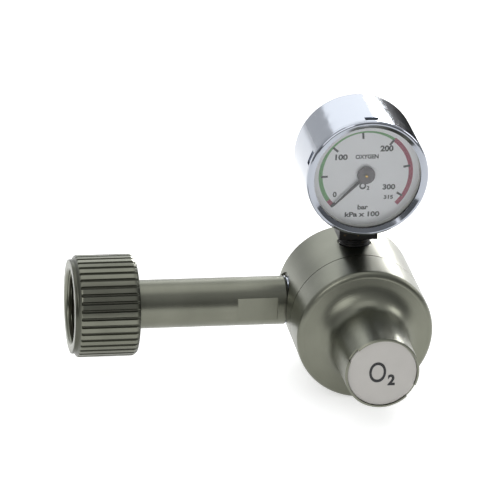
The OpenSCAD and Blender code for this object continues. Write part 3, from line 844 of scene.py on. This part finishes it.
class RegulatorDialPrint(bpy.types.Operator):
    """Print the dial's bands, ticks, numbers and units"""

    bl_idname = "regulator.dial_print"
    bl_label = "Dial print"

    def execute(self, context):
        dial = context.scene.regulator_dial
        centre = (DIAL_X, DIAL_Z)

        def angle(reading):
            """Angle of a reading on the scale."""
            return dial.zero_angle - dial.sweep * reading / dial.full_scale

        radius = dial.band_radius / MM
        red = [
            band(radius, [1.4, 1.4], angle(0), angle(10), DIAL_FRONT, centre),
            band(radius, [1.45, 1.45], angle(200), angle(dial.full_scale), DIAL_FRONT, centre),
        ]
        green = [band(radius, [1.4, 1.35, 1.1, 0.65, 0.5, 0.65, 0.95], angle(10), angle(200), DIAL_FRONT, centre)]
        inner, outer = dial.tick_inner / MM, dial.tick_outer / MM
        over_band = DIAL_FRONT + INK
        black = [bar(inner, outer, 0.7, angle(reading), over_band, centre) for reading in range(50, 301, 50)]
        black.append(bar(inner + 1.2, outer + 0.9, 0.8, angle(0), over_band, centre))
        # each text with its width and height, and its place from the dial's centre
        black += [
            lettering(text, size, at, DIAL_FRONT, centre)
            for text, size, at in [
                ("0", (1.3, 1.9), (-9.9, -6.8)),
                ("100", (4.1, 2.0), (-8.3, 6.2)),
                ("200", (4.3, 2.1), (6.5, 8.9)),
                ("300", (4.2, 1.9), (7.9, -4.6)),
                ("315", (3.1, 1.4), (7.9, -8.2)),
                ("O", (2.3, 2.5), (-0.8, -4.0)),
                ("2", (0.9, 1.4), (1.0, -4.8)),
                ("bar", (3.5, 1.75), (-0.4, -11.5)),
                ("kPa x 100", (11.5, 1.8), (-0.5, -14.0)),
                ("OXYGEN", (7.6, 1.5), (0.1, 6.2)),
            ]
        ]
        piece("dial_red_bands", red, finish("red_dial_ink"), "root")
        piece("dial_green_band", green, finish("green_dial_ink"), "root")
        piece("dial_black_print", black, finish("black_dial_ink"), "root")
        return {"FINISHED"}


class RegulatorPointer(bpy.types.Operator):
    """Build the pointer: tapered needle, round hub and gilt pin"""

    bl_idname = "regulator.pointer"
    bl_label = "Pointer"

    def execute(self, context):
        centre = (DIAL_X, DIAL_Z)
        rear = -corner("pointer", True)[1]
        zero = context.scene.regulator_dial.zero_angle
        # needle: places along it and the half-width at each, with a low ridge along its middle
        along = np.array([-2.6, 0, 14.6, 15.4])[:, None]
        half = np.array([0.6, 0.58, 0.24, 0.06])[:, None]
        aside = np.array([-1, -1, 0, 1, 1])[None, :] * half
        height = rear + 0.3 + np.array([0, 0.22, 0.38, 0.22, 0])[None, :]
        needle = capped_tube(
            facing_front(
                along * math.cos(zero) - aside * math.sin(zero),
                along * math.sin(zero) + aside * math.cos(zero),
                height,
                centre,
            )
        )
        # hub: outline of radius and height, carried round the pointer's axis
        outline = softened([(0.55, rear), (2.9, rear), (2.9, rear + 0.75), (2.7, rear + 0.9), (0.55, rear + 0.9)], 0.12)
        turn = np.linspace(0, 2 * math.pi, 72, endpoint=False)[None, :]
        far, high = outline[:, :1], outline[:, 1:]
        hub = wrapped_grid(facing_front(far * np.cos(turn), far * np.sin(turn), high, centre))
        # pin: rings of radius and height above the pointer's back, joined into a domed plug
        rings = [(0.5, 0.85), (0.53, 0.9), (0.53, 1.2), (0.4, 1.32), (0.15, 1.36)]
        pin = capped_tube(
            np.concatenate(
                [facing_front(f * np.cos(turn), f * np.sin(turn), rear + h, centre) for f, h in rings]
            )
        )
        piece("pointer_needle", [needle], finish("black_lacquer"), "pointer", ["pointer"])
        piece("pointer_hub", [hub], finish("grey_lacquered_hub"), "pointer")
        piece("pointer_pin", [pin], finish("bright_gilt_pin"), "pointer")
        return {"FINISHED"}


class RegulatorLabel(bpy.types.Operator):
    """Print the sign for oxygen on the cap of the neck"""

    bl_idname = "regulator.label"
    bl_label = "Label"

    def execute(self, context):
        centre = (BODY_X, 0)
        letters = [
            lettering("O", (5.5, 7.1), (-1.5, 0.3), LABEL_FRONT, centre, 0.005),
            lettering("2", (2.4, 3.9), (3.1, -2.5), LABEL_FRONT, centre, 0.045),
        ]
        piece("label_letters", letters, finish("black_dial_ink"), "root")
        return {"FINISHED"}


def flat_card(name, corners, material):
    """One flat face from its corners, in metres."""
    mesh = bpy.data.meshes.new(name)
    mesh.from_pydata(corners, [], [tuple(range(len(corners)))])
    mesh.materials.append(material)
    made = bpy.data.objects.new(name, mesh)
    bpy.context.scene.collection.objects.link(made)
    return made


class RegulatorStage(bpy.types.Operator):
    """Set the pale floor, the soft studio lights and the camera"""

    bl_idname = "regulator.stage"
    bl_label = "Studio"

    def execute(self, context):
        scene, studio = context.scene, context.scene.regulator_studio
        aim = Vector((0.0460, -0.0006, 0.0186))  # the point looked at, in metres
        # floor: one flat square under the body
        level, side = CAD_BOX[0][2] - 0.0002, 6.0
        paper = new_material("matt_white_paper")
        place = in_millimetres(paper)
        fibres = add_node(paper, "ShaderNodeTexNoise", {"Scale": 0.5, "Detail": 2}, {"Vector": (place, "Vector")})
        tone = add_node(
            paper,
            "ShaderNodeMix",
            {"data_type": "RGBA", 6: (0.84, 0.84, 0.84, 1), 7: (0.86, 0.86, 0.86, 1)},
            {0: (fibres, "Fac")},
        )
        shaded(
            paper,
            {
                "Roughness": 0.9,
                "Specular IOR Level": 0.1,
                "Emission Color": (1, 1, 1, 1),
                "Emission Strength": studio.floor_glow,
            },
            {"Base Color": (tone, 2)},
        )
        square = [(-side, -side), (side, -side), (side, side), (-side, side)]
        floor = flat_card("pale_floor", [(x, y, level) for x, y in square], paper)

        # room: brighter behind and above, dim in front
        world = bpy.data.worlds.new("soft_room")
        world.use_nodes = True
        world.node_tree.nodes.clear()
        way = add_node(world, "ShaderNodeTexCoord")
        split = add_node(world, "ShaderNodeSeparateXYZ", links={"Vector": (way, "Generated")})
        behind = add_node(
            world,
            "ShaderNodeMapRange",
            {"interpolation_type": "SMOOTHSTEP", "From Min": -0.5, "From Max": 0.9, "To Min": 0.2, "To Max": 0.85},
            {"Value": (split, "Y")},
        )
        above = add_node(
            world,
            "ShaderNodeMapRange",
            {"interpolation_type": "SMOOTHSTEP", "From Min": 0.2, "From Max": 1, "To Min": 0, "To Max": 0.3},
            {"Value": (split, "Z")},
        )
        total = add_node(world, "ShaderNodeMath", {"operation": "ADD"}, {0: (behind, 0), 1: (above, 0)})
        glow = add_node(world, "ShaderNodeBackground", {"Color": (0.96, 0.98, 1, 1)}, {"Strength": (total, 0)})
        add_node(world, "ShaderNodeOutputWorld", links={"Surface": (glow, 0)})
        scene.world = world

        # each lamp: way from the point looked at, distance, width and height, power, colour
        lights = {
            "back_window": ((0.40, 0.89, 0.19), 1.2, (0.27, 0.42), studio.key_power * 1.2, (1, 0.99, 0.97)),
            "back_wall": ((-0.05, 0.85, 0.50), 1.3, (1.2, 0.5), studio.key_power * 0.3, (0.96, 0.98, 1)),
            "right_side": ((0.88, 0.22, 0.42), 1.3, (0.5, 0.5), studio.key_power * 0.35, (1, 1, 1)),
            "overhead": ((0.0, 0.1, 1.0), 1.5, (1.2, 1.2), studio.key_power * 0.45, (1, 1, 1)),
            "front_left": ((-0.55, -0.75, 0.75), 1.5, (0.9, 0.9), studio.fill_power, (1, 1, 1)),
        }
        for name, (way, distance, size, power, colour) in lights.items():
            lamp = bpy.data.lights.new(name, "AREA")
            lamp.shape, lamp.size, lamp.size_y = "RECTANGLE", *size
            lamp.energy, lamp.color = power, colour
            holder = bpy.data.objects.new(name, lamp)
            direction = Vector(way).normalized()
            holder.location = aim + direction * distance
            holder.rotation_euler = direction.to_track_quat("Z", "Y").to_euler()
            holder.visible_camera = False
            scene.collection.objects.link(holder)

        # black card beside the back window, seen only in the mirror of the chrome
        felt = new_material("black_felt")
        nap = add_node(felt, "ShaderNodeTexNoise", {"Scale": 2})
        fuzz = add_node(felt, "ShaderNodeBump", {"Strength": 0.3, "Distance": 0.0005}, {"Height": (nap, "Fac")})
        shaded(felt, {"Base Color": (0.015, 0.015, 0.015, 1), "Roughness": 1}, {"Normal": (fuzz, "Normal")})
        left, right, behind_body = 0.094, 0.14, 0.05
        outline = [(left, 0.029), (right, 0.029), (right, 0.078), (left, 0.084)]
        black_card = flat_card("black_card", [(x, behind_body, z) for x, z in outline], felt)
        for unseen in ("visible_camera", "visible_diffuse", "visible_shadow", "visible_transmission"):
            setattr(black_card, unseen, False)

        camera = bpy.data.cameras.new("camera")
        camera.sensor_width, camera.lens = 36, studio.lens
        camera.clip_start, camera.clip_end = 0.05, 20
        holder = bpy.data.objects.new("camera", camera)
        azimuth, elevation = studio.azimuth, studio.elevation
        back = Vector(
            (math.sin(azimuth) * math.cos(elevation), -math.cos(azimuth) * math.cos(elevation), math.sin(elevation))
        )
        holder.location = aim + back * studio.distance
        holder.rotation_euler = (
            back.to_track_quat("Z", "Y").to_matrix() @ Matrix.Rotation(studio.roll, 3, "Z")
        ).to_euler()
        scene.collection.objects.link(holder)
        scene.camera = holder
        scene.view_settings.view_transform = "Standard"
        return {"FINISHED"}


STEPS = [
    RegulatorFinishes, RegulatorUnionNut, RegulatorThreads, RegulatorSprings, RegulatorDialPrint,
    RegulatorPointer, RegulatorLabel, RegulatorStage,
]


class RegulatorPanel(bpy.types.Panel):
    """Sidebar with one button per step and a box per group of settings"""

    bl_idname = "VIEW3D_PT_regulator"
    bl_label = "Oxygen pressure regulator"
    bl_space_type = "VIEW_3D"
    bl_region_type = "UI"
    bl_category = "Regulator"

    def draw(self, context):
        for step in STEPS:
            self.layout.operator(step.bl_idname)
        for name, group in SETTINGS.items():
            box = self.layout.box()
            for setting in group.__annotations__:
                box.prop(getattr(context.scene, name), setting)


def register():
    """Register the settings, the steps and the panel."""
    for name, group in SETTINGS.items():
        bpy.utils.register_class(group)
        setattr(bpy.types.Scene, name, bpy.props.PointerProperty(type=group))
    for cls in [*STEPS, RegulatorPanel]:
        bpy.utils.register_class(cls)


def unregister():
    """Take back what register() did, in the opposite order."""
    for cls in [RegulatorPanel, *reversed(STEPS)]:
        bpy.utils.unregister_class(cls)
    for name, group in reversed(SETTINGS.items()):
        delattr(bpy.types.Scene, name)
        bpy.utils.unregister_class(group)


def main():
    """Register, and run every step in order."""
    register()
    for step in STEPS:
        area, name = step.bl_idname.split(".")
        getattr(getattr(bpy.ops, area), name)()


if __name__ == "__main__":
    main()
